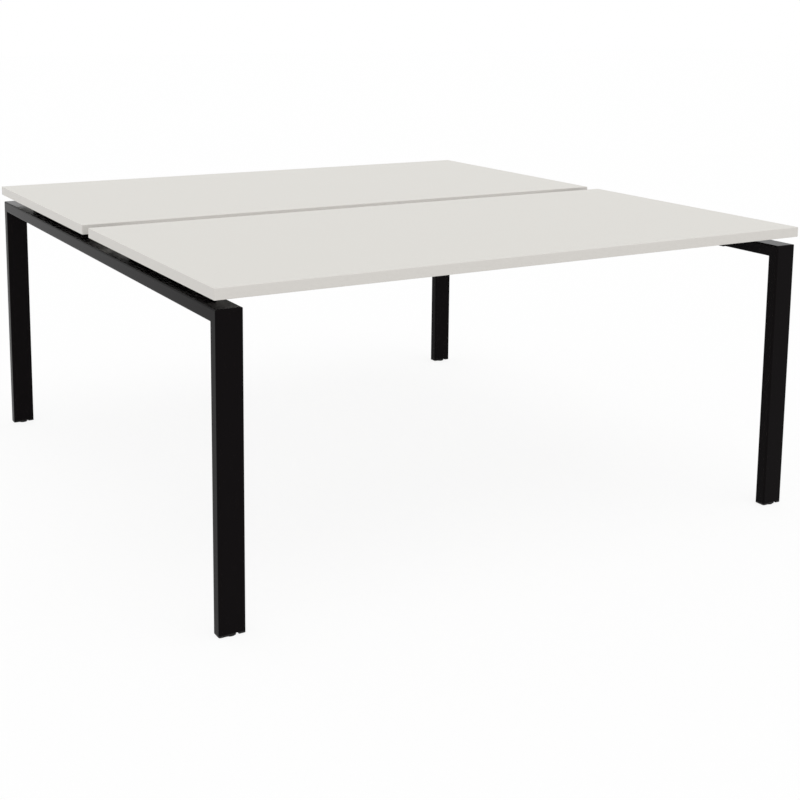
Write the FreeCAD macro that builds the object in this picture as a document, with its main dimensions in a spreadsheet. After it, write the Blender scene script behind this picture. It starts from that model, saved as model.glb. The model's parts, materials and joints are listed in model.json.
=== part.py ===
import FreeCAD, Part
import math
import os
import re

import Sketcher

# Bench desk for two people who sit back to back: two worktops with a cable gap between them, carried by
# four lengthwise beams between two portal end frames of mitred rectangular tube, on four levelling feet.
# Millimetres, +Z up. The origin is on the floor at the centre of the footprint, +X runs along the desk's
# length and +Y from the front worktop to the back one.

SIZES = (
    # worktops and their edge bands
    ("top_length", 1600),
    ("top_depth", 800),
    ("top_thickness", 25),
    ("desk_height", 735),
    ("cable_gap", 50),
    ("band_thickness", 2),
    ("band_round", 1.8),
    ("band_corner_radius", 2.5),
    # end frames
    ("shadow_gap", 20),
    ("frame_inset_ends", 5),
    ("frame_inset_sides", 5),
    ("tube_width", 60),
    ("tube_depth", 30),
    ("tube_wall", 2),
    ("tube_radius", 4),
    ("corner_round", 3),
    # beams, end plates and bolts
    ("beam_width", 25),
    ("beam_height", 50),
    ("beam_wall", 2),
    ("beam_radius", 3),
    ("outer_beam_setback", 230),
    ("inner_beam_setback", 150),
    ("plate_thickness", 5),
    ("plate_drop", 5),
    ("plate_margin", 14),
    ("plate_radius", 5),
    ("bolt_spacing", 62),
    ("bolt_diameter", 8),
    ("bolt_length", 14),
    ("bolt_head_flats", 13),
    ("bolt_head_height", 5.3),
    ("bolt_flange_diameter", 17),
    ("bolt_flange_thickness", 1.6),
    ("bolt_clearance", 0.5),
    ("collar_wall", 2.5),
    ("collar_length", 6),
    # fixing cleats and screws
    ("cleat_length", 44),
    ("cleat_reach", 28),
    ("cleat_height", 26),
    ("cleat_thickness", 3),
    ("cleat_radius", 7),
    ("screw_diameter", 4.2),
    ("screw_reach", 15),
    ("screw_tip", 4),
    ("screw_head_diameter", 9),
    ("screw_head_height", 2.6),
    ("screw_head_bevel", 1.2),
    ("screw_clearance", 0.6),
    ("thread_clearance", 0.1),
    # leg inserts and their threaded bushes
    ("insert_flange", 4),
    ("insert_height", 24),
    ("insert_wall", 2),
    ("insert_clearance", 0.2),
    ("notch_width", 7),
    ("notch_depth", 7.5),
    ("notch_offset", 10.5),
    ("rib_thickness", 2),
    ("boss_wall", 2),
    ("bush_diameter", 12),
    ("bush_height", 12),
    ("bush_flange_diameter", 15),
    ("bush_flange_thickness", 1.5),
    # levelling feet
    ("stem_diameter", 8),
    ("stem_length", 34),
    ("stem_chamfer", 1),
    ("stem_clearance", 0.05),
    ("hex_flats", 13),
    ("hex_height", 5),
    ("hex_clearance", 0.6),
    ("pivot_diameter", 7),
    ("pivot_length", 1.6),
    ("base_diameter", 26),
    ("base_thickness", 3),
    ("base_bevel", 0.8),
    ("swivel_clearance", 0.1),
    ("stop_clearance", 0.2),
    # how far every cut runs past the faces that it opens
    ("cut_overrun", 10),
)
ALIASES = {alias for alias, size in SIZES}

# Places of the fixing cleats along a beam, as shares of half the beam's length.
CLEAT_SHARES = (-0.86, -0.29, 0.29, 0.86)

# Levels above the floor.
UNDERSIDE = "(desk_height - top_thickness)"
RAIL_TOP = f"({UNDERSIDE} - shadow_gap)"
RAIL_FOOT = f"({RAIL_TOP} - tube_depth)"
INSERT_FOOT = "(base_thickness + stop_clearance)"
LEG_FOOT = f"({INSERT_FOOT} + insert_flange)"
HEX_FOOT = "(base_thickness + swivel_clearance)"
BUSH_FOOT = f"({HEX_FOOT} + hex_height + swivel_clearance)"

# Distances from the desk's middle, along X and along Y.
RAIL_CENTRE = "(top_length / 2 - frame_inset_ends - tube_width / 2)"
RAIL_INNER = "(top_length / 2 - frame_inset_ends - tube_width)"
BEAM_END = f"({RAIL_INNER} - plate_thickness)"
TOP_CENTRE = "(cable_gap / 2 + top_depth / 2)"
FRAME_SIDE = "(cable_gap / 2 + top_depth - frame_inset_sides)"
LEG_CENTRE = f"({FRAME_SIDE} - tube_depth / 2)"
BEAM_ROWS = {
    "outer": "(cable_gap / 2 + top_depth - outer_beam_setback)",
    "inner": "(cable_gap / 2 + inner_beam_setback)",
}
CLEAT_SIDES = {"outer": -1, "inner": 1}

# Sizes that two pieces share.
BOARD_LENGTH = "(top_length - 2 * band_thickness)"
BOARD_DEPTH = "(top_depth - 2 * band_thickness)"
TUBE_BORE_WIDTH = "(tube_width - 2 * tube_wall)"
TUBE_BORE_DEPTH = "(tube_depth - 2 * tube_wall)"
TUBE_BORE_RADIUS = "(tube_radius - tube_wall)"
THREAD_HOLE = "(bolt_diameter + 2 * thread_clearance)"
RECESS_DIAMETER = "(max(bush_flange_diameter, hex_flats * 2 / sqrt(3)) + 2 * hex_clearance)"
BOSS_DIAMETER = f"({RECESS_DIAMETER} + 2 * boss_wall)"

# Signs of the four corners.
ENDS = {"left": -1, "right": 1}
FACES = {"front": -1, "back": 1}

doc = FreeCAD.newDocument("bench_desk")
sheet = doc.addObject("Spreadsheet::Sheet", "Sizes")
for row, (alias, size) in enumerate(SIZES, start=1):
    sheet.set(f"A{row}", alias)
    sheet.set(f"B{row}", str(size))
    sheet.setAlias(f"B{row}", alias)
doc.recompute()


def sized(text):
    """The expression with the name of each size read from the sheet."""
    def from_sheet(word):
        return "Sizes." + word[0] if word[0] in ALIASES else word[0]

    return re.sub(r"(?<![\w.])[a-z_]+", from_sheet, str(text))


def number(expression):
    """The expression's value with the sheet's present sizes."""
    return float(sheet.evalExpression(sized(expression)))


def place(piece, x=0, y=0, z=0, turn=0):
    """Stands a piece at a place given by expressions, turned about Z by so many degrees."""
    piece.Placement = FreeCAD.Placement(FreeCAD.Vector(), FreeCAD.Rotation(FreeCAD.Vector(0, 0, 1), turn))
    for axis, expression in zip("xyz", (x, y, z)):
        piece.setExpression("Placement.Base." + axis, sized(expression))


def new_body(label):
    body = doc.addObject("PartDesign::Body", label)
    body.Label = label
    return body


def new_sketch(body, name, plane="XY_Plane", level=0):
    """A sketch on one of the body's origin planes, moved along that plane's normal to a level."""
    sketch = body.newObject("Sketcher::SketchObject", f"{body.Name}_{name}")
    support = next(feature for feature in body.Origin.OriginFeatures if feature.Role == plane)
    sketch.AttachmentSupport = (support, "")
    sketch.MapMode = "FlatFace"
    sketch.setExpression("AttachmentOffset.Base.z", sized(level))
    return sketch


def drive(sketch, name, kind, where, expression):
    """Adds a dimension to a sketch and binds it to an expression."""
    index = sketch.addConstraint(Sketcher.Constraint(kind, *where, number(expression)))
    sketch.renameConstraint(index, name)
    sketch.setExpression("Constraints." + name, sized(expression))


def pin_point(sketch, name, geometry, point, x, y):
    """Binds a point's distances from the sketch's origin."""
    drive(sketch, name + "_x", "DistanceX", (-1, 1, geometry, point), x)
    drive(sketch, name + "_y", "DistanceY", (-1, 1, geometry, point), y)


def tie(sketch, kind, *where):
    sketch.addConstraint(Sketcher.Constraint(kind, *where))


def line(sketch, start, end):
    return sketch.addGeometry(Part.LineSegment(FreeCAD.Vector(*start), FreeCAD.Vector(*end)), False)


def arc(sketch, centre, radius, start, end):
    whole = Part.Circle(FreeCAD.Vector(*centre), FreeCAD.Vector(0, 0, 1), radius)
    return sketch.addGeometry(Part.ArcOfCircle(whole, math.radians(start), math.radians(end)), False)


def circle(sketch, name, diameter, x=0, y=0):
    middle = FreeCAD.Vector(number(x), number(y))
    ring = sketch.addGeometry(Part.Circle(middle, FreeCAD.Vector(0, 0, 1), number(diameter) / 2), False)
    drive(sketch, name + "_diameter", "Diameter", (ring,), diameter)
    pin_point(sketch, name, ring, 3, x, y)


def polygon(sketch, points):
    """A closed outline of straight sides through points given by pairs of expressions."""
    corners = [(number(x), number(y)) for x, y in points]
    sides = [line(sketch, corner, corners[(k + 1) % len(corners)]) for k, corner in enumerate(corners)]
    for k, (x, y) in enumerate(points):
        tie(sketch, "Coincident", sides[k - 1], 2, sides[k], 1)
        pin_point(sketch, f"point{k}", sides[k], 1, x, y)


def rectangle(sketch, width, height):
    """A rectangle about the sketch's origin."""
    right = f"{width} / 2"
    high = f"{height} / 2"
    polygon(sketch, ((f"-{right}", f"-{high}"), (right, f"-{high}"), (right, high), (f"-{right}", high)))


def rounded_rectangle(sketch, name, width, height, radius, y=0):
    """A rectangle with round corners, centred on the sketch's vertical axis, its middle at a height y."""
    r = number(radius)
    right = number(width) / 2
    low = number(y) - number(height) / 2
    high = number(y) + number(height) / 2
    sides = (
        line(sketch, (r - right, low), (right - r, low)),
        line(sketch, (right, low + r), (right, high - r)),
        line(sketch, (right - r, high), (r - right, high)),
        line(sketch, (-right, high - r), (-right, low + r)),
    )
    centres = ((right - r, low + r), (right - r, high - r), (r - right, high - r), (r - right, low + r))
    rounds = [arc(sketch, centre, r, 90 * k - 90, 90 * k) for k, centre in enumerate(centres)]
    for k, bend in enumerate(rounds):
        tie(sketch, "Tangent", sides[k], 2, bend, 1)
        tie(sketch, "Tangent", bend, 2, sides[(k + 1) % 4], 1)
        tie(sketch, "Vertical" if k % 2 else "Horizontal", sides[k])
        if k:
            tie(sketch, "Equal", rounds[0], bend)
    drive(sketch, name + "_radius", "Radius", (rounds[0],), radius)
    drive(sketch, name + "_width", "DistanceX", (sides[3], 1, sides[1], 1), width)
    drive(sketch, name + "_height", "DistanceY", (sides[0], 1, sides[2], 1), height)
    drive(sketch, name + "_right", "DistanceX", (-1, 1, sides[1], 1), f"{width} / 2")
    drive(sketch, name + "_top", "DistanceY", (-1, 1, sides[2], 1), f"{y} + {height} / 2")


def hexagon(sketch, flats):
    """A hexagon about the sketch's origin, given by the distance across its flats."""
    reach = f"{flats} / sqrt(3)"
    shares = [(math.cos(math.radians(60 * k)), math.sin(math.radians(60 * k))) for k in range(6)]
    polygon(sketch, [(f"{reach} * {x:.9f}", f"{reach} * {y:.9f}") for x, y in shares])


def pad(body, sketch, length, symmetric=False, against=False):
    """Adds a prism on the sketch: along its normal, against it, or to both sides alike."""
    feature = body.newObject("PartDesign::Pad", sketch.Name + "_pad")
    feature.Profile = sketch
    feature.setExpression("Length", sized(length))
    feature.SideType = "Symmetric" if symmetric else "One side"
    feature.Reversed = against
    return feature


def pocket(body, sketch, depth=None, along=False):
    """Cuts the sketch's shape: through everything both ways, or to a depth against or along its normal."""
    feature = body.newObject("PartDesign::Pocket", sketch.Name + "_pocket")
    feature.Profile = sketch
    if depth is None:
        feature.Type = "ThroughAll"
        feature.SideType = "Symmetric"
    else:
        feature.setExpression("Length", sized(depth))
        feature.Reversed = along
    return feature


def turned(body, points):
    """A solid turned about Z from a half profile of (radius, height) points."""
    sketch = new_sketch(body, "half", "XZ_Plane")
    polygon(sketch, points)
    feature = body.newObject("PartDesign::Revolution", sketch.Name + "_turn")
    feature.Profile = sketch
    feature.ReferenceAxis = (sketch, ["V_Axis"])
    feature.Angle = 360
    return feature


def soften(body, base, kind, size_property, size, chosen):
    """Rounds or bevels the edges of a feature that a test picks."""
    doc.recompute()
    names = [f"Edge{k}" for k, edge in enumerate(base.Shape.Edges, start=1) if chosen(edge.BoundBox)]
    feature = body.newObject("PartDesign::" + kind, f"{body.Name}_{kind.lower()}")
    feature.Base = (base, names)
    feature.setExpression(size_property, sized(size))
    return feature


def copies(label, source, places):
    """One node of separate equal solids: a link to the source at each place."""
    links = []
    for count, spot in enumerate(places):
        link = doc.addObject("App::Link", f"{label}_{count}")
        link.LinkedObject = source
        place(link, *spot)
        links.append(link)
    return group(label, links)


def group(label, members):
    node = doc.addObject("Part::Compound", label)
    node.Label = label
    node.Links = members
    return node


def screw_places(face):
    """The (x, y) places of one worktop's screws: a row in the cleats of each of its two beams."""
    spots = []
    for row, middle in BEAM_ROWS.items():
        y = f"{FACES[face]} * ({middle} + {CLEAT_SIDES[row]} * (beam_width / 2 + cleat_reach / 2))"
        spots += [(f"{share} * {BEAM_END}", y) for share in CLEAT_SHARES]
    return spots


def desktop(face):
    """The board inside the edge band, with blind holes in its underside for the screws."""
    body = new_body("desktop_" + face)
    outline = new_sketch(body, "outline")
    rectangle(outline, BOARD_LENGTH, BOARD_DEPTH)
    pad(body, outline, "top_thickness")
    holes = new_sketch(body, "holes")
    middle = f"{FACES[face]} * {TOP_CENTRE}"
    for count, (x, y) in enumerate(screw_places(face)):
        circle(holes, f"hole{count}", "(screw_diameter + 2 * thread_clearance)", x, f"{y} - {middle}")
    pocket(body, holes, "screw_reach + thread_clearance", along=True)
    place(body, 0, middle, UNDERSIDE)
    return body


def edge_band(face):
    """Four strips glued round a board. The long strips keep the corners and the end strips butt on them."""
    middle = f"{FACES[face]} * {TOP_CENTRE}"
    ring = new_body("band_ring_" + face)
    outline = new_sketch(ring, "outline")
    rounded_rectangle(outline, "rim", "top_length", "top_depth", "band_corner_radius")
    slab = pad(ring, outline, "top_thickness")
    thin = number("band_thickness")
    rounding = "min(band_round, band_thickness)"
    soften(ring, slab, "Fillet", "Radius", rounding, lambda box: box.ZLength < thin)
    hollow = new_sketch(ring, "hollow")
    rectangle(hollow, BOARD_LENGTH, BOARD_DEPTH)
    pocket(ring, hollow)
    place(ring, 0, middle, UNDERSIDE)
    slabs = []
    for name, sign in FACES.items():
        box = doc.addObject("Part::Box", f"band_slab_{face}_{name}")
        box.setExpression("Length", sized("top_length + 2 * cut_overrun"))
        box.setExpression("Width", sized("band_thickness + cut_overrun"))
        box.setExpression("Height", sized("top_thickness + 2 * cut_overrun"))
        slab_middle = f"{middle} + {sign} * (top_depth + cut_overrun - band_thickness) / 2"
        slab_near = f"{slab_middle} - (band_thickness + cut_overrun) / 2"
        place(box, "-top_length / 2 - cut_overrun", slab_near, f"{UNDERSIDE} - cut_overrun")
        slabs.append(box)
    both = group(f"band_slabs_{face}", slabs)
    strips = []
    for kind, name in (("Part::Common", "long"), ("Part::Cut", "end")):
        strip = doc.addObject(kind, f"band_{name}_strips_{face}")
        strip.Base = ring
        strip.Tool = both
        strips.append(strip)
    return group("edge_band_" + face, strips)


def tube_section(sketch):
    """The end frames' rectangular tube: wide side along the sketch's horizontal axis."""
    rounded_rectangle(sketch, "outside", "tube_width", "tube_depth", "tube_radius")
    rounded_rectangle(sketch, "bore", TUBE_BORE_WIDTH, TUBE_BORE_DEPTH, TUBE_BORE_RADIUS)


def mitre(body, name, corner, level, inward, keeps_leg):
    """Cuts a tube's end at 45 degrees from the frame's outer corner inwards, and rounds that corner.
    The corner is at (corner, level) in the YZ plane; inward is the sign of Y towards the desk's middle."""
    out = f"{corner} - {inward} * cut_overrun"
    deep = f"{corner} + {inward} * (tube_depth + cut_overrun)"
    over = f"{level} + cut_overrun"
    under = f"{level} - tube_depth - cut_overrun"
    slope = new_sketch(body, name + "_mitre", "YZ_Plane")
    polygon(slope, ((out, over), (deep, under), (deep, over) if keeps_leg else (out, under)))
    pocket(body, slope)

    x, y, r = number(corner), number(level), number("corner_round")
    o = number("cut_overrun")
    centre = (x + inward * r, y - r)
    edge = new_sketch(body, name + "_round", "YZ_Plane")
    bend = arc(edge, centre, r, *((90, 180) if inward > 0 else (0, 90)))
    top_end, side_end = (1, 2) if inward > 0 else (2, 1)
    rise = line(edge, (centre[0], y), (centre[0], y + o))
    lid = line(edge, (centre[0], y + o), (x - inward * o, y + o))
    drop = line(edge, (x - inward * o, y + o), (x - inward * o, centre[1]))
    back = line(edge, (x - inward * o, centre[1]), (x, centre[1]))
    tie(edge, "Coincident", bend, top_end, rise, 1)
    tie(edge, "Coincident", rise, 2, lid, 1)
    tie(edge, "Coincident", lid, 2, drop, 1)
    tie(edge, "Coincident", drop, 2, back, 1)
    tie(edge, "Coincident", back, 2, bend, side_end)
    tie(edge, "Vertical", rise)
    tie(edge, "Horizontal", lid)
    tie(edge, "Vertical", drop)
    tie(edge, "Horizontal", back)
    tie(edge, "Vertical", bend, top_end, bend, 3)
    tie(edge, "Horizontal", bend, side_end, bend, 3)
    drive(edge, "radius", "Radius", (bend,), "corner_round")
    pin_point(edge, "centre", bend, 3, f"{corner} + {inward} * corner_round", f"{level} - corner_round")
    pin_point(edge, "outside", drop, 1, out, over)
    pocket(body, edge)


def leg(face, end):
    """One leg, open at its foot and mitred at its head. The back legs are front ones turned half round."""
    body = new_body(f"leg_{face}_{end}")
    section = new_sketch(body, "section")
    tube_section(section)
    pad(body, section, f"{RAIL_TOP} - {LEG_FOOT}")
    mitre(body, "head", "-tube_depth / 2", f"({RAIL_TOP} - {LEG_FOOT})", 1, True)
    turn = 0 if FACES[face] < 0 else 180
    place(body, f"{ENDS[end]} * {RAIL_CENTRE}", f"{FACES[face]} * {LEG_CENTRE}", LEG_FOOT, turn)
    return body


def bolt_rows():
    """The Y places of one rail's bolts: a pair beside each of the four beams."""
    rows = []
    for sign in FACES.values():
        for middle in BEAM_ROWS.values():
            rows += [f"{sign} * {middle} + {side} * bolt_spacing / 2" for side in FACES.values()]
    return rows


def rail(end):
    """One rail, mitred at both ends, with threaded collars for the bolts drawn into its inner wall."""
    body = new_body("rail_" + end)
    section = new_sketch(body, "section", "XZ_Plane")
    tube_section(section)
    pad(body, section, f"2 * {FRAME_SIDE}", symmetric=True)
    for face, sign in FACES.items():
        mitre(body, face, f"{sign} * {FRAME_SIDE}", "tube_depth / 2", -sign, False)
    collars = new_sketch(body, "collars", "YZ_Plane", f"{TUBE_BORE_WIDTH} / 2")
    holes = new_sketch(body, "holes", "YZ_Plane", "tube_width / 2")
    for count, y in enumerate(bolt_rows()):
        circle(collars, f"collar{count}", f"({THREAD_HOLE} + 2 * collar_wall)", y)
        circle(holes, f"hole{count}", THREAD_HOLE, y)
    pad(body, collars, "collar_length", against=True)
    pocket(body, holes, "tube_wall + collar_length")
    turn = 0 if ENDS[end] < 0 else 180
    place(body, f"{ENDS[end]} * {RAIL_CENTRE}", 0, f"{RAIL_TOP} - tube_depth / 2", turn)
    return body


def beam(face, row):
    """A lengthwise tube that carries a worktop, level with the worktop's underside."""
    body = new_body(f"beam_{face}_{row}")
    section = new_sketch(body, "section", "YZ_Plane")
    rounded_rectangle(section, "outside", "beam_width", "beam_height", "beam_radius")
    bore = ("(beam_width - 2 * beam_wall)", "(beam_height - 2 * beam_wall)", "(beam_radius - beam_wall)")
    rounded_rectangle(section, "bore", *bore)
    pad(body, section, f"2 * {BEAM_END}", symmetric=True)
    place(body, 0, f"{FACES[face]} * {BEAM_ROWS[row]}", f"{UNDERSIDE} - beam_height / 2")
    return body


def end_plate(face, row, end):
    """The plate on a beam's end that is bolted flat against the rail's inner wall."""
    body = new_body(f"end_plate_{face}_{row}_{end}")
    outline = new_sketch(body, "outline", "YZ_Plane")
    width = "(bolt_spacing + 2 * plate_margin)"
    height = "(tube_depth + shadow_gap - plate_drop)"
    hole = "(bolt_diameter + 2 * bolt_clearance)"
    rounded_rectangle(outline, "plate", width, height, "plate_radius", f"{height} / 2")
    for name, sign in FACES.items():
        circle(outline, name, hole, f"{sign} * bolt_spacing / 2", "tube_depth / 2")
    pad(body, outline, "plate_thickness")
    turn = 0 if ENDS[end] > 0 else 180
    place(body, f"{ENDS[end]} * {BEAM_END}", f"{FACES[face]} * {BEAM_ROWS[row]}", RAIL_FOOT, turn)
    return body


def beam_bolts(end):
    """The flanged hexagon bolts that hold the end plates to one rail, heads towards the desk's middle."""
    bolt = new_body("bolt_" + end)
    shank = new_sketch(bolt, "shank", "YZ_Plane")
    circle(shank, "shank", "bolt_diameter")
    pad(bolt, shank, "bolt_length")
    flange = new_sketch(bolt, "flange", "YZ_Plane")
    circle(flange, "flange", "bolt_flange_diameter")
    pad(bolt, flange, "bolt_flange_thickness", against=True)
    head = new_sketch(bolt, "head", "YZ_Plane", "-bolt_flange_thickness")
    hexagon(head, "bolt_head_flats")
    pad(bolt, head, "bolt_head_height", against=True)
    x = f"{ENDS[end]} * {BEAM_END}"
    z = f"{RAIL_FOOT} + tube_depth / 2"
    turn = 0 if ENDS[end] > 0 else 180
    return copies("beam_bolts_" + end, bolt, [(x, y, z, turn) for y in bolt_rows()])


def fixing_cleats(face):
    """Angle cleats welded to the beams' sides, with a screw hole in the leg that lies under the worktop."""
    cleat = new_body("cleat_" + face)
    angle = new_sketch(cleat, "angle", "YZ_Plane")
    points = (
        (0, 0),
        (0, "-cleat_height"),
        ("cleat_thickness", "-cleat_height"),
        ("cleat_thickness", "-cleat_thickness"),
        ("cleat_reach", "-cleat_thickness"),
        ("cleat_reach", 0),
    )
    polygon(angle, points)
    bar = pad(cleat, angle, "cleat_length", symmetric=True)
    tip = number("cleat_reach - cleat_thickness / 2")
    upright_at_tip = lambda box: box.YMin > tip and box.XLength < box.ZLength
    soften(cleat, bar, "Fillet", "Radius", "cleat_radius", upright_at_tip)
    hole = new_sketch(cleat, "hole")
    circle(hole, "hole", "(screw_diameter + 2 * screw_clearance)", 0, "cleat_reach / 2")
    pocket(cleat, hole, "cleat_thickness")
    spots = []
    for row, middle in BEAM_ROWS.items():
        side = FACES[face] * CLEAT_SIDES[row]
        y = f"{FACES[face]} * ({middle} + {CLEAT_SIDES[row]} * beam_width / 2)"
        turn = 0 if side > 0 else 180
        spots += [(f"{share} * {BEAM_END}", y, UNDERSIDE, turn) for share in CLEAT_SHARES]
    return copies("fixing_cleats_" + face, cleat, spots)


def top_screws(face):
    """The screws that hold a worktop to the cleats, from below."""
    screw = new_body("screw_" + face)
    length = "(cleat_thickness + screw_reach)"
    points = (
        (0, "-screw_head_height"),
        ("screw_head_diameter / 2 - screw_head_bevel", "-screw_head_height"),
        ("screw_head_diameter / 2", "screw_head_bevel - screw_head_height"),
        ("screw_head_diameter / 2", 0),
        ("screw_diameter / 2", 0),
        ("screw_diameter / 2", f"{length} - screw_tip"),
        (0, length),
    )
    turned(screw, points)
    z = f"{UNDERSIDE} - cleat_thickness"
    return copies("top_screws_" + face, screw, [(x, y, z) for x, y in screw_places(face)])


def foot_insert(face, end):
    """The moulded plug in a leg's foot: a flange with a removal notch in each long side, a ribbed socket and
    a boss for the threaded bush. Half a turn brings the plug back onto itself."""
    body = new_body(f"foot_insert_{face}_{end}")
    flange = new_sketch(body, "flange")
    rounded_rectangle(flange, "flange", "tube_width", "tube_depth", "tube_radius")
    pad(body, flange, "insert_flange")
    for long_side, sign in (("front", 1), ("back", -1)):
        notch = new_sketch(body, "notch_" + long_side)
        near = f"{sign} * (notch_offset - notch_width / 2)"
        far = f"{sign} * (notch_offset + notch_width / 2)"
        outer = f"{-sign} * (tube_depth / 2 + cut_overrun)"
        inner = f"{-sign} * (tube_depth / 2 - notch_depth)"
        polygon(notch, ((near, outer), (far, outer), (far, inner), (near, inner)))
        pocket(body, notch)
    plug_width = f"({TUBE_BORE_WIDTH} - 2 * insert_clearance)"
    plug_depth = f"({TUBE_BORE_DEPTH} - 2 * insert_clearance)"
    wall = new_sketch(body, "wall", level="insert_flange")
    rounded_rectangle(wall, "outside", plug_width, plug_depth, TUBE_BORE_RADIUS)
    rectangle(wall, f"({plug_width} - 2 * insert_wall)", f"({plug_depth} - 2 * insert_wall)")
    pad(body, wall, "insert_height")
    boss = new_sketch(body, "boss", level="insert_flange")
    circle(boss, "boss", BOSS_DIAMETER)
    pad(body, boss, "insert_height")
    ribs = new_sketch(body, "ribs", level="insert_flange")
    rectangle(ribs, f"({plug_width} - insert_wall)", "rib_thickness")
    pad(body, ribs, "insert_height")
    recess = new_sketch(body, "recess")
    circle(recess, "recess", RECESS_DIAMETER)
    pocket(body, recess, f"{BUSH_FOOT} + bush_flange_thickness - {INSERT_FOOT}", along=True)
    bore = new_sketch(body, "bore")
    circle(bore, "bore", "(bush_diameter + 2 * thread_clearance)")
    pocket(body, bore)
    place(body, f"{ENDS[end]} * {RAIL_CENTRE}", f"{FACES[face]} * {LEG_CENTRE}", INSERT_FOOT)
    return body


def thread_bush(face, end):
    """The metal bush that the foot's stem screws through. Its flange bears on the insert from below."""
    body = new_body(f"thread_bush_{face}_{end}")
    bore = "stem_diameter / 2 + stem_clearance"
    points = (
        (bore, 0),
        ("bush_flange_diameter / 2", 0),
        ("bush_flange_diameter / 2", "bush_flange_thickness"),
        ("bush_diameter / 2", "bush_flange_thickness"),
        ("bush_diameter / 2", "bush_height"),
        (bore, "bush_height"),
    )
    turned(body, points)
    place(body, f"{ENDS[end]} * {RAIL_CENTRE}", f"{FACES[face]} * {LEG_CENTRE}", BUSH_FOOT)
    return body


def foot_stem(face, end):
    """A levelling foot's stem: threaded rod, spanner hexagon and the pivot that turns in the base."""
    body = new_body(f"foot_stem_{face}_{end}")
    pivot = new_sketch(body, "pivot")
    circle(pivot, "pivot", "pivot_diameter")
    pad(body, pivot, "pivot_length", against=True)
    collar = new_sketch(body, "hexagon")
    hexagon(collar, "hex_flats")
    pad(body, collar, "hex_height")
    rod = new_sketch(body, "rod", level="hex_height")
    circle(rod, "rod", "stem_diameter")
    shaft = pad(body, rod, "stem_length")
    top = number("hex_height + stem_length - stem_chamfer")
    soften(body, shaft, "Chamfer", "Size", "stem_chamfer", lambda box: box.ZMin > top)
    place(body, f"{ENDS[end]} * {RAIL_CENTRE}", f"{FACES[face]} * {LEG_CENTRE}", HEX_FOOT)
    return body


def foot_base(face, end):
    """A levelling foot's base: a low disc with bevelled rims and a socket for the stem's pivot."""
    body = new_body(f"foot_base_{face}_{end}")
    socket = "pivot_diameter / 2 + stem_clearance"
    floor = "base_thickness - pivot_length"
    rim = "base_diameter / 2"
    top = "base_thickness"
    disc = turned(body, ((0, 0), (rim, 0), (rim, top), (socket, top), (socket, floor), (0, floor)))
    inside = number("base_diameter - base_bevel")
    rim_circle = lambda box: box.XLength > inside and box.ZLength < box.XLength / 2
    soften(body, disc, "Chamfer", "Size", "base_bevel", rim_circle)
    place(body, f"{ENDS[end]} * {RAIL_CENTRE}", f"{FACES[face]} * {LEG_CENTRE}")
    return body


nodes = [rail(end) for end in ENDS]
nodes += [beam_bolts(end) for end in ENDS]
for face in FACES:
    nodes += [desktop(face), edge_band(face), fixing_cleats(face), top_screws(face)]
    for row in BEAM_ROWS:
        nodes.append(beam(face, row))
        nodes += [end_plate(face, row, end) for end in ENDS]
    for end in ENDS:
        nodes += [make(face, end) for make in (leg, foot_insert, thread_bush, foot_stem, foot_base)]
doc.recompute()

for thing in doc.Objects:
    if "Invalid" in thing.State or "Error" in thing.State:
        raise RuntimeError(f"{thing.Label} failed: {thing.State}")
    if thing.TypeId == "PartDesign::Pocket" and thing.Shape.Volume >= thing.BaseFeature.Shape.Volume:
        raise RuntimeError(f"{thing.Label} cuts nothing")
for node in nodes:
    if node.Shape.isNull() or not node.Shape.isValid() or not node.Shape.Solids:
        raise RuntimeError(f"{node.Label} has no valid solid")

os.makedirs("parts", exist_ok=True)
for node in nodes:
    node.Shape.exportStep(f"parts/{node.Label}.step")
    print(f"{node.Label}: {len(node.Shape.Solids)} solids, {node.Shape.Volume:.0f} mm3")
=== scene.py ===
import json
import math

import bpy
from mathutils import Matrix, Vector


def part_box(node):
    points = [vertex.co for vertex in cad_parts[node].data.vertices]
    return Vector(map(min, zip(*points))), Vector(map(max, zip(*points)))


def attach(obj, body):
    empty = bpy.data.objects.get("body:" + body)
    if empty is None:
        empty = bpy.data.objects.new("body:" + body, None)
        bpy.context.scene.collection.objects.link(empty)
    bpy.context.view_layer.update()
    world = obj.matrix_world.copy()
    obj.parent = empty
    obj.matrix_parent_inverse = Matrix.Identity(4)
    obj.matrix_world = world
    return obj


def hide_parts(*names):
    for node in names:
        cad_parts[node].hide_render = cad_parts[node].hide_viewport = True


# Bench desk: finishes, small hardware, spacers, welds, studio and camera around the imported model.
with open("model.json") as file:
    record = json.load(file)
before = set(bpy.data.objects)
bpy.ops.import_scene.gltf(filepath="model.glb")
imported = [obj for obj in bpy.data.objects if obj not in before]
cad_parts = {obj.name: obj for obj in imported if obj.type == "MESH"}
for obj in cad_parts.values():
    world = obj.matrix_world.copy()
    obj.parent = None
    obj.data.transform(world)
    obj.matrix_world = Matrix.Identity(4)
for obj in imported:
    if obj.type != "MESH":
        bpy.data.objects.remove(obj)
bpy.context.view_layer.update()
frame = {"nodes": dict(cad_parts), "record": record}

# Lengths are in metres. MM turns a size in millimetres into metres.
MM = 0.001

# The desk's ends, each with its direction along X from the middle, and its faces.
ENDS = {"left": -1, "right": 1}
FACES = ("front", "back")

# Camera, fitted to the desk's edges in the photograph, which is 800 by 800 pixels. The lens shift is kept
# small, so that the desk also stays inside the picture from other sides. A downward tilt does the rest.
IMAGE_SIZE = 800
SENSOR_MM = 36.0
CAMERA_PLACE = Vector((-1.777, -3.177, 1.281))
CAMERA_YAW = math.radians(29.67)
CAMERA_TILT = math.radians(8.90)
CAMERA_ROLL = math.radians(0.445)
FOCAL_PIXELS = 1323.0
CAMERA_SHIFT = (0.030, -0.233)

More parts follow.
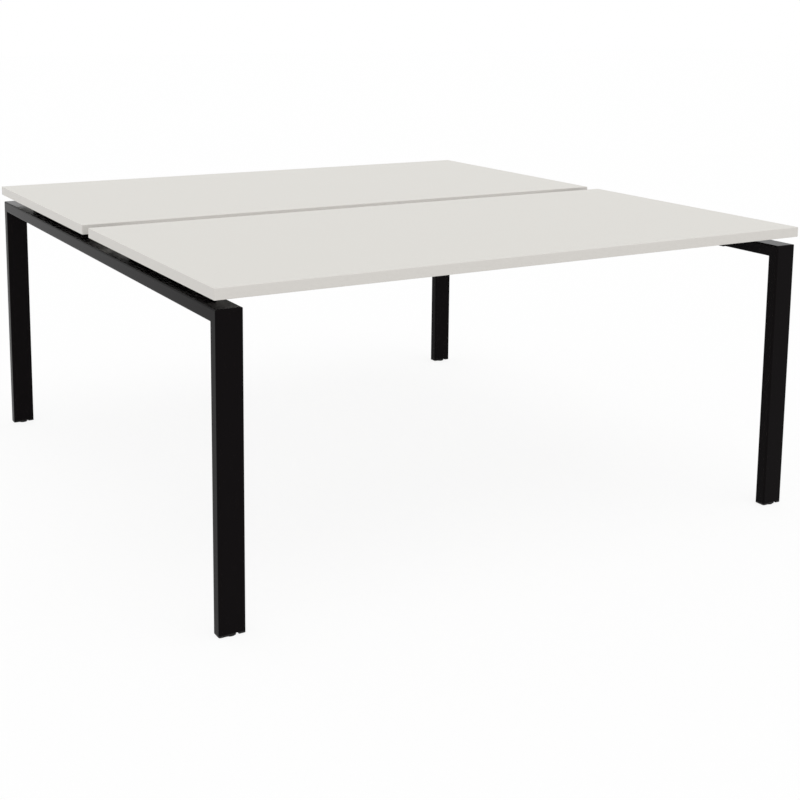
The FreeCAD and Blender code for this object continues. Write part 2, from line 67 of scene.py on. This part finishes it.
# Light: an even white surround, and a soft sun from above that keeps the sides apart.
WHITE = (1.0, 1.0, 1.0, 1.0)
SURROUND_LIGHT = 0.76
SUN_STRENGTH = 0.85
SUN_ANGLE = math.radians(50)
SUN_FROM = Vector((0.04, -0.30, 1.2))

# Floor: pale, white where it is seen or mirrored but for a share that takes the desk's shadow.
FLOOR_SIZE = 60.0
FLOOR_COLOUR = (0.95, 0.95, 0.95, 1.0)
FLOOR_SHADOW_SHARE = 0.12

# Finishes: the noise behind the mottled colour, and the finer one behind the gloss and the relief.
MOTTLE_DETAIL = 2.0
GRAIN_DETAIL = 4.0
GRAIN_HEIGHT = 0.2 * MM

# Added pieces: edges sharper than this angle stay sharp, and round pieces have this many sides.
SHARP_ANGLE = math.radians(35)
ROUND_SEGMENTS = 36

# Screws and cleats of one node: each is smaller than this reach, and the next one lies further off.
SOLID_REACH = 100.0 * MM

# Levelling feet: M8 stem with a spanner hexagon and a pivot that sits in the base.
THREAD_RADIUS = 4.0 * MM
THREAD_PITCH = 1.25 * MM
THREAD_DEPTH = 0.65 * MM
THREAD_ROWS_PER_TURN = 6
STEM_HEX_HEIGHT = 5.0 * MM
STEM_CHAMFER = 1.0 * MM
PIVOT_RADIUS = 3.5 * MM
PIVOT_LENGTH = 1.6 * MM

# Hexagon of stems and bolts: the chamfer starts just inside the flats and runs out to the corners.
HEX_FLATS = 13.0 * MM
HEX_SIDE_ANGLE = math.tau / 6
HEX_CHAMFER_SLOPE = math.tan(math.radians(30))
HEX_CHAMFER_START_SHARE = 0.97
HEX_CHAMFER_SHARES = (0.0, 0.5, 0.75, 1.0)

# Beam bolts: M8 with a hexagon head on a flange, which leaves a narrow land around the corners.
BOLT_SPACING = 62.0 * MM
BOLT_LENGTH = 14.0 * MM
BOLT_FLANGE_RADIUS = 8.5 * MM
BOLT_FLANGE_RIM = 0.7 * MM
BOLT_FLANGE_HEIGHT = 1.6 * MM
BOLT_FLANGE_LAND = 0.2 * MM
BOLT_HEAD_HEIGHT = 5.3 * MM

# Worktop screws: pan heads with a cross recess, whose floor rises from the middle outwards.
SCREW_RADIUS = 2.1 * MM
SCREW_POINT_LENGTH = 2 * SCREW_RADIUS
SCREW_TIP_SHARE = 0.2
SCREW_HEAD_RADIUS = 4.5 * MM
SCREW_HEAD_HEIGHT = 2.6 * MM
SCREW_ROUNDING_SHARES = ((1.0, 0.0), (1.0, 0.45), (0.96, 0.68), (0.86, 0.87), (0.72, 1.0))
CROSS_REACH = 2.3 * MM
CROSS_WIDTH = 1.0 * MM
CROSS_DEPTH = 1.5 * MM
CROSS_RISE_SHARE = 0.6
CROSS_RING_SHARES = (0.62, 0.52, 0.50, 0.42, 0.34, 0.26, 0.18, 0.10)

# Spacer tubes between each rail and each worktop, flush with the rail's inner face, and their short welds.
SPACER_LENGTH = 510.0 * MM
SPACER_WIDTH = 10.0 * MM
SPACER_WALL = 1.5 * MM
SPACER_RADIUS = 2.0 * MM
SPACER_ARC_STEPS = 4
SPACER_WELD_LENGTH = 30.0 * MM
SPACER_WELD_SHARES = (-0.42, 0.0, 0.42)

# Weld beads: rippled, thinner at both ends, which stop short of the seam's ends.
BEAD_RADIUS = 2.2 * MM
BEAD_RIPPLE = 3.2 * MM
BEAD_STEP = 0.8 * MM
BEAD_RIPPLE_SHARE = 0.10
BEAD_END_SHARE = 0.4
BEAD_SIDES = 10
BEAD_END_GAP = 3.0 * MM
CORNER_BEAD_GAP = 2 * BEAD_END_GAP


def new_material(name):
    """A new material with its nodes, its links and its shader."""
    material = bpy.data.materials.new(name)
    material.use_nodes = True
    nodes = material.node_tree.nodes
    return material, nodes, material.node_tree.links, nodes["Principled BSDF"]


def noise(nodes, links, scale, detail):
    """A noise texture in the object's own metres; scale is in features per metre."""
    place = nodes.new("ShaderNodeTexCoord")
    texture = nodes.new("ShaderNodeTexNoise")
    texture.inputs["Scale"].default_value = scale
    texture.inputs["Detail"].default_value = detail
    links.new(place.outputs["Object"], texture.inputs["Vector"])
    return texture.outputs["Fac"]


def spread(nodes, links, value, low, high):
    """Maps a value from 0..1 to a range of numbers."""
    ramp = nodes.new("ShaderNodeMapRange")
    ramp.inputs["To Min"].default_value = low
    ramp.inputs["To Max"].default_value = high
    links.new(value, ramp.inputs["Value"])
    return ramp.outputs["Result"]


def tint(nodes, links, value, colours):
    """Mixes two near colours by a noise value."""
    mix = nodes.new("ShaderNodeMix")
    mix.data_type = "RGBA"
    mix.inputs["A"].default_value = (*colours[0], 1.0)
    mix.inputs["B"].default_value = (*colours[1], 1.0)
    links.new(value, mix.inputs["Factor"])
    return mix.outputs["Result"]


def add_relief(nodes, links, shader, value, strength):
    """Lets a noise value stand out from the surface as a fine relief."""
    bump = nodes.new("ShaderNodeBump")
    bump.inputs["Strength"].default_value = strength
    bump.inputs["Distance"].default_value = GRAIN_HEIGHT
    links.new(value, bump.inputs["Height"])
    links.new(bump.outputs["Normal"], shader.inputs["Normal"])


def surface(name, colours, mottles, roughness, grains, relief, specular, metallic=0.0):
    """A finish with mottled colour, uneven gloss and a fine relief. The two colours are linear, roughness
    is a range, and mottles and grains are counted per metre."""
    material, nodes, links, shader = new_material(name)
    mottle = noise(nodes, links, mottles, MOTTLE_DETAIL)
    grain = noise(nodes, links, grains, GRAIN_DETAIL)
    links.new(tint(nodes, links, mottle, colours), shader.inputs["Base Color"])
    links.new(spread(nodes, links, grain, *roughness), shader.inputs["Roughness"])
    add_relief(nodes, links, shader, grain, relief)
    shader.inputs["Specular IOR Level"].default_value = specular
    shader.inputs["Metallic"].default_value = metallic
    return material


def melamine_board():
    """The worktops' pale, satin melamine."""
    return surface(
        "worktop",
        colours=((0.668, 0.652, 0.612), (0.690, 0.674, 0.634)),
        mottles=260.0,
        roughness=(0.42, 0.52),
        grains=1400.0,
        relief=0.10,
        specular=0.35,
    )


def plastic_band():
    """The worktops' edge band, nearly the board's colour."""
    return surface(
        "edge_band",
        colours=((0.678, 0.656, 0.619), (0.701, 0.678, 0.641)),
        mottles=120.0,
        roughness=(0.40, 0.48),
        grains=900.0,
        relief=0.06,
        specular=0.35,
    )


def black_powder_coat():
    """Glossy black paint with a faint orange peel. Its low specular keeps it dark in the white surround."""
    return surface(
        "black_frame",
        colours=((0.0040, 0.0031, 0.0034), (0.0058, 0.0046, 0.0050)),
        mottles=400.0,
        roughness=(0.10, 0.16),
        grains=900.0,
        relief=0.015,
        specular=0.03,
    )


def moulded_plastic():
    """Matt black plastic of the inserts and the feet."""
    return surface(
        "black_plastic",
        colours=((0.006, 0.006, 0.006), (0.011, 0.011, 0.011)),
        mottles=300.0,
        roughness=(0.50, 0.64),
        grains=2200.0,
        relief=0.20,
        specular=0.25,
    )


def zinc_plating():
    """Zinc-plated steel of the stems, bushes, bolts and screws."""
    return surface(
        "zinc_steel",
        colours=((0.50, 0.51, 0.53), (0.70, 0.71, 0.73)),
        mottles=500.0,
        roughness=(0.28, 0.46),
        grains=1800.0,
        relief=0.05,
        specular=0.5,
        metallic=1.0,
    )


def make_finishes():
    """One finish for each material slot of the record."""
    return {
        "worktop": melamine_board(),
        "edge_band": plastic_band(),
        "black_frame": black_powder_coat(),
        "black_plastic": moulded_plastic(),
        "zinc_steel": zinc_plating(),
    }


def dress_nodes():
    """Gives every node of the frame the finish of its slot in the record."""
    for entry in frame["record"]["subparts"]:
        mesh = frame["nodes"][entry["node"]].data
        mesh.materials.clear()
        mesh.materials.append(finishes[entry["material_slot"]])


def add_piece(name, parts, body, slot):
    """One piece from (vertices, faces) parts, which rides on a body and takes a slot's finish."""
    vertices, faces = [], []
    for part_vertices, part_faces in parts:
        faces += [[index + len(vertices) for index in face] for face in part_faces]
        vertices += part_vertices
    mesh = bpy.data.meshes.new(name)
    mesh.from_pydata(vertices, [], faces)
    mesh.materials.append(finishes[slot])
    piece = bpy.data.objects.new(name, mesh)
    bpy.context.scene.collection.objects.link(piece)
    mesh.shade_smooth()
    mesh.set_sharp_from_angle(angle=SHARP_ANGLE)
    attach(piece, body)
    return piece


def solids_of(node):
    """Boxes (low, high) of a node's separate solids, which lie further apart than each one reaches."""
    groups = []
    for vertex in frame["nodes"][node].data.vertices:
        near = [group for group in groups if (vertex.co - group[0]).length < SOLID_REACH]
        if near:
            near[0].append(vertex.co)
        else:
            groups.append([vertex.co])
    return [(Vector(map(min, zip(*group))), Vector(map(max, zip(*group)))) for group in groups]


def ring_skin(rings, segments, stand):
    """A closed skin through rings about Z, stood by a matrix. A ring gives (radius, height) at an angle."""
    vertices = []
    for ring in rings:
        for segment in range(segments):
            angle = math.tau * segment / segments
            radius, height = ring(angle)
            vertices.append(stand @ Vector((radius * math.cos(angle), radius * math.sin(angle), height)))
    faces = [list(reversed(range(segments)))]
    for row in range(len(rings) - 1):
        for segment in range(segments):
            here = row * segments + segment
            following = row * segments + (segment + 1) % segments
            faces.append([here, following, following + segments, here + segments])
    faces.append(list(range((len(rings) - 1) * segments, len(rings) * segments)))
    return vertices, faces


def level_ring(radius, height):
    """A round, level ring."""
    return lambda angle: (radius, height)


def hexagon_ring(flats, height, limit):
    """A hexagon's ring, cut back to a round limit where a chamfer takes its corners."""
    def ring(angle):
        from_flat = (angle + HEX_SIDE_ANGLE / 2) % HEX_SIDE_ANGLE - HEX_SIDE_ANGLE / 2
        return min(flats / 2 / math.cos(from_flat), limit), height
    return ring


def hexagon_rings(flats, low, high, both_ends):
    """A hexagon head's rings from low to high, its corners chamfered at the top or at both ends."""
    corner = flats / math.sqrt(3)
    start = flats / 2 * HEX_CHAMFER_START_SHARE
    drop = (corner - start) * HEX_CHAMFER_SLOPE
    steps = [(share * drop, start + share * (corner - start)) for share in HEX_CHAMFER_SHARES]
    rings = []
    if both_ends:
        rings += [hexagon_ring(flats, low + rise, limit) for rise, limit in steps]
    else:
        rings.append(hexagon_ring(flats, low, corner))
    rings += [hexagon_ring(flats, high - rise, limit) for rise, limit in reversed(steps)]
    return rings


def thread_ring(height):
    """A ring of a right-hand thread with straight flanks."""
    def ring(angle):
        turn = (height / THREAD_PITCH - angle / math.tau) % 1.0
        return THREAD_RADIUS - THREAD_DEPTH * abs(2.0 * turn - 1.0), height
    return ring


def foot_stem(corner):
    """A levelling foot's stem: pivot, chamfered spanner hexagon and a real thread."""
    node = "foot_stem_" + corner
    low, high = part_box(node)
    middle = (low + high) / 2
    stand = Matrix.Translation((middle.x, middle.y, low.z + PIVOT_LENGTH))
    rod_end = high.z - low.z - PIVOT_LENGTH
    rings = [level_ring(PIVOT_RADIUS, -PIVOT_LENGTH), level_ring(PIVOT_RADIUS, 0.0)]
    rings += hexagon_rings(HEX_FLATS, 0.0, STEM_HEX_HEIGHT, both_ends=True)
    root = THREAD_RADIUS - THREAD_DEPTH
    rings.append(level_ring(root, STEM_HEX_HEIGHT))
    rows = int((rod_end - STEM_CHAMFER - STEM_HEX_HEIGHT) / THREAD_PITCH * THREAD_ROWS_PER_TURN)
    for row in range(1, rows):
        rings.append(thread_ring(STEM_HEX_HEIGHT + row * THREAD_PITCH / THREAD_ROWS_PER_TURN))
    rings += [level_ring(root, rod_end - STEM_CHAMFER), level_ring(THREAD_RADIUS - STEM_CHAMFER, rod_end)]
    piece = add_piece("stem_" + corner, [ring_skin(rings, ROUND_SEGMENTS, stand)], node, "zinc_steel")
    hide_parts(node)


def bolt_rings():
    """A flanged hexagon bolt along Z, seated at height 0."""
    head = BOLT_FLANGE_HEIGHT + BOLT_HEAD_HEIGHT
    rings = [
        level_ring(THREAD_RADIUS, -BOLT_LENGTH),
        level_ring(THREAD_RADIUS, 0.0),
        level_ring(BOLT_FLANGE_RADIUS, 0.0),
        level_ring(BOLT_FLANGE_RADIUS, BOLT_FLANGE_RIM),
        level_ring(HEX_FLATS / math.sqrt(3) + BOLT_FLANGE_LAND, BOLT_FLANGE_HEIGHT),
    ]
    return rings + hexagon_rings(HEX_FLATS, BOLT_FLANGE_HEIGHT, head, both_ends=False)


def beam_bolts(end, sign):
    """The bolts of one rail: a pair through each end plate, heads towards the desk's middle."""
    rail_low, rail_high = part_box("rail_" + end)
    z = (rail_low.z + rail_high.z) / 2
    inwards = Matrix.Rotation(-sign * math.pi / 2, 4, "Y")
    parts = []
    for node in frame["nodes"]:
        if node.startswith("end_plate_") and node.endswith(end):
            low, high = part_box(node)
            seat = low.x if sign > 0 else high.x
            for side in (-1, 1):
                y = (low.y + high.y) / 2 + side * BOLT_SPACING / 2
                stand = Matrix.Translation((seat, y, z)) @ inwards
                parts.append(ring_skin(bolt_rings(), ROUND_SEGMENTS, stand))
    piece = add_piece("bolts_" + end, parts, "desk_frame", "zinc_steel")
    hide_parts("beam_bolts_" + end)


def cross_ring(radius, height):
    """A ring of a screw head's face, sunk where the cross recess crosses it."""
    def ring(angle):
        x = abs(radius * math.cos(angle))
        y = abs(radius * math.sin(angle))
        inside = max(x, y) < CROSS_REACH and min(x, y) < CROSS_WIDTH / 2
        depth = CROSS_DEPTH * (1.0 - CROSS_RISE_SHARE * radius / CROSS_REACH) if inside else 0.0
        return radius, height - depth
    return ring


def screw_rings(length):
    """A pan-head screw along Z, its seat at height 0, its shank below and its head above."""
    rings = [
        level_ring(SCREW_RADIUS * SCREW_TIP_SHARE, -length),
        level_ring(SCREW_RADIUS, -length + SCREW_POINT_LENGTH),
        level_ring(SCREW_RADIUS, 0.0),
    ]
    for across, up in SCREW_ROUNDING_SHARES:
        rings.append(level_ring(across * SCREW_HEAD_RADIUS, up * SCREW_HEAD_HEIGHT))
    rings += [cross_ring(share * SCREW_HEAD_RADIUS, SCREW_HEAD_HEIGHT) for share in CROSS_RING_SHARES]
    return rings


def top_screws(face):
    """The screws of one worktop, in the places of the CAD's own."""
    node = "top_screws_" + face
    over = Matrix.Rotation(math.pi, 4, "X")
    parts = []
    for low, high in solids_of(node):
        middle = (low + high) / 2
        length = high.z - low.z - SCREW_HEAD_HEIGHT
        stand = Matrix.Translation((middle.x, middle.y, low.z + SCREW_HEAD_HEIGHT)) @ over
        parts.append(ring_skin(screw_rings(length), ROUND_SEGMENTS, stand))
    piece = add_piece("screws_" + face, parts, "desk_frame", "zinc_steel")
    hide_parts(node)


def weld_bead(start, end):
    """A rippled bead along a straight seam."""
    start, end = Vector(start), Vector(end)
    length = (end - start).length
    rows = max(2, int(length / BEAD_STEP))
    rings = [level_ring(BEAD_RADIUS * BEAD_END_SHARE, 0.0)]
    for row in range(1, rows):
        height = length * row / rows
        swell = 1.0 + BEAD_RIPPLE_SHARE * math.sin(math.tau * height / BEAD_RIPPLE)
        rings.append(level_ring(BEAD_RADIUS * swell, height))
    rings.append(level_ring(BEAD_RADIUS * BEAD_END_SHARE, length))
    turn = (end - start).to_track_quat("Z", "Y").to_matrix().to_4x4()
    return ring_skin(rings, BEAD_SIDES, Matrix.Translation(start) @ turn)


def plate_welds():
    """Upright beads where the beams' sides meet their end plates."""
    parts = []
    for node in frame["nodes"]:
        if node.startswith("end_plate_"):
            low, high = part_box(node)
            beam = node.replace("end_plate", "beam").rsplit("_", 1)[0]
            beam_low, beam_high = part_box(beam)
            x = low.x if low.x > 0 else high.x
            for y in (beam_low.y, beam_high.y):
                parts.append(weld_bead((x, y, low.z + BEAD_END_GAP), (x, y, high.z - BEAD_END_GAP)))
    add_piece("plate_welds", parts, "desk_frame", "black_frame")


def cleat_welds():
    """Beads along the lower edges of the cleats, on the beams' sides."""
    parts = []
    for face in FACES:
        beams = [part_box(f"beam_{face}_{row}") for row in ("outer", "inner")]
        beam_sides = [corner.y for beam in beams for corner in beam]
        for low, high in solids_of("fixing_cleats_" + face):
            y = min(beam_sides, key=lambda side: min(abs(side - low.y), abs(side - high.y)))
            parts.append(weld_bead((low.x + BEAD_END_GAP, y, low.z), (high.x - BEAD_END_GAP, y, low.z)))
    add_piece("cleat_welds", parts, "desk_frame", "black_frame")


def corner_welds():
    """Beads in the inner corners of the end frames, under the rails."""
    parts = []
    for end in ENDS:
        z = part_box("rail_" + end)[0].z
        for face in FACES:
            low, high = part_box(f"leg_{face}_{end}")
            y = high.y if face == "front" else low.y
            parts.append(weld_bead((low.x + CORNER_BEAD_GAP, y, z), (high.x - CORNER_BEAD_GAP, y, z)))
    add_piece("corner_welds", parts, "desk_frame", "black_frame")


def rounded_outline(width, height, radius):
    """Points of a rounded rectangle about its middle, turning from +X to +Z."""
    points = []
    for quarter, (side, level) in enumerate(((1, 1), (-1, 1), (-1, -1), (1, -1))):
        for step in range(SPACER_ARC_STEPS + 1):
            angle = (quarter + step / SPACER_ARC_STEPS) * math.pi / 2
            x = side * (width / 2 - radius) + radius * math.cos(angle)
            z = level * (height / 2 - radius) + radius * math.sin(angle)
            points.append((x, z))
    return points


def spacer_tube(middle, height):
    """A rectangular tube along Y with open ends. Its skin runs over the outside and back through the bore,
    and turns inwards at both ends."""
    outer = rounded_outline(SPACER_WIDTH, height, SPACER_RADIUS)
    bore_width = SPACER_WIDTH - 2 * SPACER_WALL
    bore_height = height - 2 * SPACER_WALL
    inner = rounded_outline(bore_width, bore_height, SPACER_RADIUS - SPACER_WALL)
    half = SPACER_LENGTH / 2
    rings = [(outer, -half), (inner, -half), (inner, half), (outer, half)]
    vertices = [middle + Vector((x, y, z)) for outline, y in rings for x, z in outline]
    count = len(outer)
    faces = []
    for row in range(len(rings)):
        here = row * count
        there = (row + 1) % len(rings) * count
        for point in range(count):
            following = (point + 1) % count
            faces.append([here + point, here + following, there + following, there + point])
    return vertices, faces


def spacers(end, sign):
    """The two tubes on one rail, each under the middle of a worktop and held by three short welds."""
    rail_low, rail_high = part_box("rail_" + end)
    inner = rail_low.x if sign > 0 else rail_high.x
    tubes, welds = [], []
    for face in FACES:
        top_low, top_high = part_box("desktop_" + face)
        y = (top_low.y + top_high.y) / 2
        height = top_low.z - rail_high.z
        middle = Vector((inner + sign * SPACER_WIDTH / 2, y, rail_high.z + height / 2))
        tubes.append(spacer_tube(middle, height))
        foot = inner + sign * SPACER_WIDTH
        for share in SPACER_WELD_SHARES:
            start = y + share * SPACER_LENGTH - SPACER_WELD_LENGTH / 2
            stop = start + SPACER_WELD_LENGTH
            welds.append(weld_bead((foot, start, rail_high.z), (foot, stop, rail_high.z)))
    add_piece("spacers_" + end, tubes, "desk_frame", "black_frame")
    add_piece("spacer_welds_" + end, welds, "desk_frame", "black_frame")


def seen_directly(nodes, links):
    """1 for rays from the camera and for mirrored or refracted ones, 0 for light that falls on things."""
    path = nodes.new("ShaderNodeLightPath")
    either = path.outputs["Is Camera Ray"]
    for other in ("Is Glossy Ray", "Is Transmission Ray"):
        larger = nodes.new("ShaderNodeMath")
        larger.operation = "MAXIMUM"
        links.new(either, larger.inputs[0])
        links.new(path.outputs[other], larger.inputs[1])
        either = larger.outputs[0]
    return either


def make_surround():
    """An even surround: white where it is seen or mirrored, a little dimmer as light on the desk."""
    world = bpy.data.worlds.new("studio")
    world.use_nodes = True
    bpy.context.scene.world = world
    nodes, links = world.node_tree.nodes, world.node_tree.links
    background = nodes["Background"]
    background.inputs["Color"].default_value = WHITE
    level = spread(nodes, links, seen_directly(nodes, links), SURROUND_LIGHT, 1.0)
    links.new(level, background.inputs["Strength"])


def make_sun():
    """A soft light from above, a little from the front."""
    sun = bpy.data.lights.new("sun", "SUN")
    sun.energy = SUN_STRENGTH
    sun.angle = SUN_ANGLE
    lamp = bpy.data.objects.new("sun", sun)
    lamp.rotation_mode = "QUATERNION"
    lamp.rotation_quaternion = SUN_FROM.to_track_quat("Z", "Y")
    bpy.context.scene.collection.objects.link(lamp)


def floor_finish():
    """White where it is seen or mirrored, but for the share that takes the desk's shadow."""
    material, nodes, links, shader = new_material("floor")
    shader.inputs["Base Color"].default_value = FLOOR_COLOUR
    shader.inputs["Roughness"].default_value = 1.0
    shader.inputs["Specular IOR Level"].default_value = 0.0
    white = nodes.new("ShaderNodeEmission")
    mix = nodes.new("ShaderNodeMixShader")
    share = spread(nodes, links, seen_directly(nodes, links), 0.0, 1.0 - FLOOR_SHADOW_SHARE)
    links.new(share, mix.inputs["Fac"])
    links.new(shader.outputs["BSDF"], mix.inputs[1])
    links.new(white.outputs["Emission"], mix.inputs[2])
    links.new(mix.outputs["Shader"], nodes["Material Output"].inputs["Surface"])
    return material


def make_floor():
    """A wide, level floor under the feet."""
    half = FLOOR_SIZE / 2
    corners = [(-half, -half, 0.0), (half, -half, 0.0), (half, half, 0.0), (-half, half, 0.0)]
    mesh = bpy.data.meshes.new("floor")
    mesh.from_pydata(corners, [], [(0, 1, 2, 3)])
    mesh.materials.append(floor_finish())
    floor = bpy.data.objects.new("floor", mesh)
    bpy.context.scene.collection.objects.link(floor)


def make_camera():
    """The photograph's viewpoint, with a part of its lens shift."""
    lens = bpy.data.cameras.new("camera")
    lens.sensor_width = SENSOR_MM
    lens.lens = FOCAL_PIXELS / IMAGE_SIZE * SENSOR_MM
    lens.shift_x, lens.shift_y = CAMERA_SHIFT
    camera = bpy.data.objects.new("camera", lens)
    turn = Matrix.Rotation(-CAMERA_YAW, 3, "Z")
    pitch = Matrix.Rotation(math.pi / 2 - CAMERA_TILT, 3, "X")
    roll = Matrix.Rotation(CAMERA_ROLL, 3, "Z")
    camera.matrix_world = Matrix.Translation(CAMERA_PLACE) @ (turn @ pitch @ roll).to_4x4()
    bpy.context.scene.collection.objects.link(camera)
    bpy.context.scene.camera = camera


finishes = make_finishes()
dress_nodes()
for face in FACES:
    top_screws(face)
    for end in ENDS:
        foot_stem(f"{face}_{end}")
for end, sign in ENDS.items():
    beam_bolts(end, sign)
    spacers(end, sign)
plate_welds()
cleat_welds()
corner_welds()
make_surround()
make_sun()
make_floor()
make_camera()
bpy.context.scene.view_settings.view_transform = "Standard"
